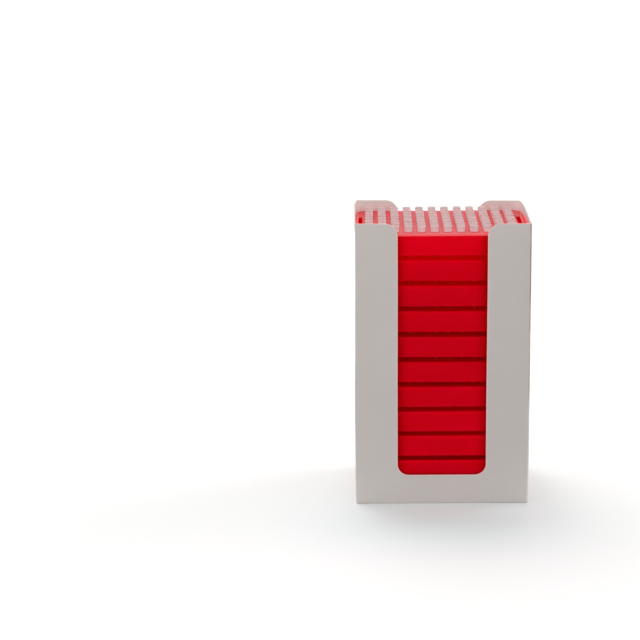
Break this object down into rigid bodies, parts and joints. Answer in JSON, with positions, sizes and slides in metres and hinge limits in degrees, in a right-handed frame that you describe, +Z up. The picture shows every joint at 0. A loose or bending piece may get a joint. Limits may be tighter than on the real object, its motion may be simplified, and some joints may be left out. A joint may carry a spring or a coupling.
{
  "type": "box of pipette tips",
  "caption": "Open folding-board tray with tall front and back windows that holds a stack of red refill racks full of small translucent pipette tips.",
  "frame": {"origin": "middle of the tray's bottom face, on the surface it stands on", "axes": "+Z up, +X to the right along the twelve tip columns, +Y to the back along the eight tip rows; the front panel faces -Y"},
  "size_m": [0.1208, 0.084, 0.2],
  "materials": {
    "board": "matte grey-white coated folding board with pale cut edges",
    "inner_board": "matte uncoated folding board",
    "rack_plastic": "satin red moulded polypropylene",
    "tip_plastic": "translucent natural polypropylene"
  },
  "bodies": {
    "root": {"tray": "board", "stack_riser": "inner_board", "rack_01": "rack_plastic", "rack_02": "rack_plastic", "rack_03": "rack_plastic", "rack_04": "rack_plastic", "rack_05": "rack_plastic", "rack_06": "rack_plastic", "rack_07": "rack_plastic", "rack_08": "rack_plastic", "rack_09": "rack_plastic", "rack_10": "rack_plastic", "tips_01": "tip_plastic", "tips_02": "tip_plastic", "tips_03": "tip_plastic", "tips_04": "tip_plastic", "tips_05": "tip_plastic", "tips_06": "tip_plastic", "tips_07": "tip_plastic", "tips_08": "tip_plastic", "tips_09": "tip_plastic", "tips_10": "tip_plastic"}
  },
  "joints": []
}
